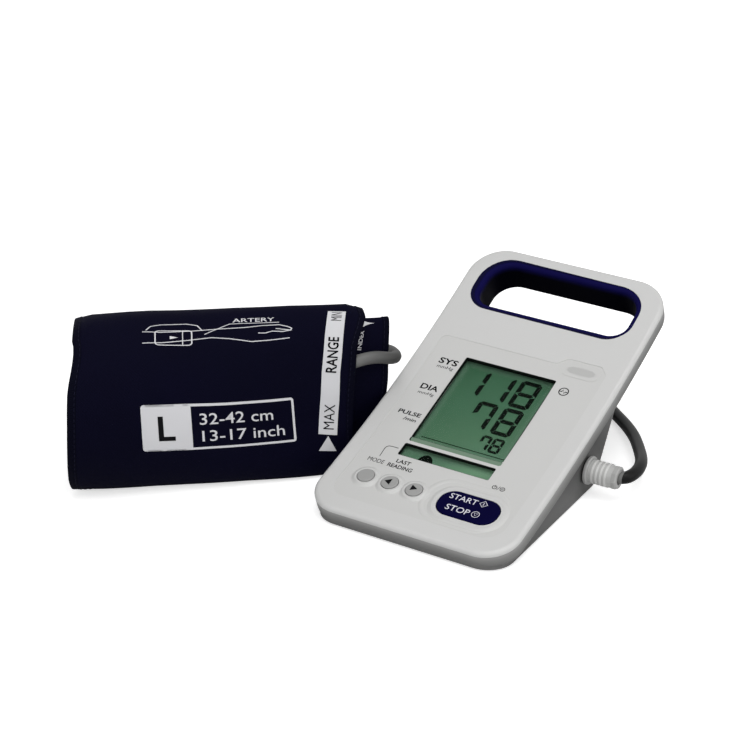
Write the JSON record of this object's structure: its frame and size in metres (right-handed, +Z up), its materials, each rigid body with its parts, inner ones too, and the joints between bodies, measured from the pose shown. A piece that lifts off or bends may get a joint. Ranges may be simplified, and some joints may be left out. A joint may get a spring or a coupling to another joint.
{
  "type": "upper arm blood pressure monitor",
  "caption": "Desk blood pressure monitor with a curved sloping face, carry-handle opening, display and push buttons, an air hose and a rolled upper-arm cuff.",
  "frame": {"origin": "on the table, under the middle of the front foot strip", "axes": "+Z up, +Y from the front edge to the carry handle, +X to the side of the air plug"},
  "size_m": [0.2965, 0.291, 0.098],
  "materials": {
    "case_white": "fine satin",
    "case_grey": "satin",
    "panel_grey": "fine satin",
    "navy_plastic": "satin gloss",
    "button_grey": "satin",
    "lamp_grey": "frosted",
    "clear_lens": "clear",
    "lcd_glass": "grey-green display",
    "inner_plastic": "moulded",
    "contact_rubber": "striped elastomer",
    "board_green": "solder mask",
    "part_black": "moulded",
    "cell_sleeve": "shrink-sleeved cells",
    "bright_metal": "plated",
    "pad_foam": "foam",
    "foot_rubber": "matte",
    "tube_silicone": "translucent",
    "plug_white": "ribbed",
    "plug_grey": "satin",
    "seal_black": "matte",
    "hose_rubber": "smooth satin",
    "cuff_nylon": "woven nylon",
    "cuff_tape": "woven tape",
    "cuff_lining_cloth": "brushed loop cloth",
    "cuff_hooks": "hook tape",
    "bladder_rubber": "matte"
  },
  "bodies": {
    "housing": {"air_hose_coil": "hose_rubber", "air_hose_cuff_run": "hose_rubber", "air_hose_plug_run": "hose_rubber", "air_manifold": "inner_plastic", "air_plug_body": "plug_white", "air_plug_cap": "plug_grey", "air_plug_ring": "plug_white", "air_plug_seal": "seal_black", "air_socket": "inner_plastic", "air_tubes": "tube_silicone", "battery_cells": "cell_sleeve", "battery_cover": "case_grey", "battery_links": "bright_metal", "battery_pad": "pad_foam", "bleed_valve": "inner_plastic", "buzzer": "part_black", "case_screws": "bright_metal", "circuit_chips": "part_black", "cuff_bladder": "bladder_rubber", "cuff_hook_patch": "cuff_hooks", "cuff_inner_cloth": "cuff_nylon", "cuff_inner_tapes": "cuff_tape", "cuff_lining": "cuff_lining_cloth", "cuff_nipple": "part_black", "cuff_outer_wrap": "cuff_nylon", "cuff_wrap_tapes": "cuff_tape", "display_panel": "panel_grey", "display_window": "clear_lens", "exhaust_valve": "bright_metal", "front_case": "case_white", "handle_liner": "navy_plastic", "indicator_led": "lamp_grey", "indicator_window": "lamp_grey", "lcd_cell": "lcd_glass", "lcd_contact_strips": "contact_rubber", "lcd_holder": "inner_plastic", "main_board": "board_green", "power_jack": "part_black", "pressure_sensor": "part_black", "pump_head": "inner_plastic", "pump_motor": "bright_metal", "rear_case": "case_grey", "rubber_feet": "foot_rubber", "tact_switches": "part_black"},
    "mode_button": {"mode_button": "button_grey"},
    "left_button": {"left_button": "button_grey"},
    "right_button": {"right_button": "button_grey"},
    "start_button": {"start_button": "navy_plastic"}
  },
  "joints": [
    {"name": "mode_button_press", "type": "slide", "parent": "housing", "child": "mode_button", "axis": [0, 0.2585, -0.966], "range_m": [0, 0.0006], "stiffness_N_per_m": 1500, "springref_m": -0.0002},
    {"name": "left_button_press", "type": "slide", "parent": "housing", "child": "left_button", "axis": [0, 0.2585, -0.966], "range_m": [0, 0.0006], "stiffness_N_per_m": 1500, "springref_m": -0.0002},
    {"name": "right_button_press", "type": "slide", "parent": "housing", "child": "right_button", "axis": [0, 0.2585, -0.966], "range_m": [0, 0.0006], "stiffness_N_per_m": 1500, "springref_m": -0.0002},
    {"name": "start_button_press", "type": "slide", "parent": "housing", "child": "start_button", "axis": [0, 0.2574, -0.9663], "range_m": [0, 0.0006], "stiffness_N_per_m": 2500, "springref_m": -0.0002}
  ]
}
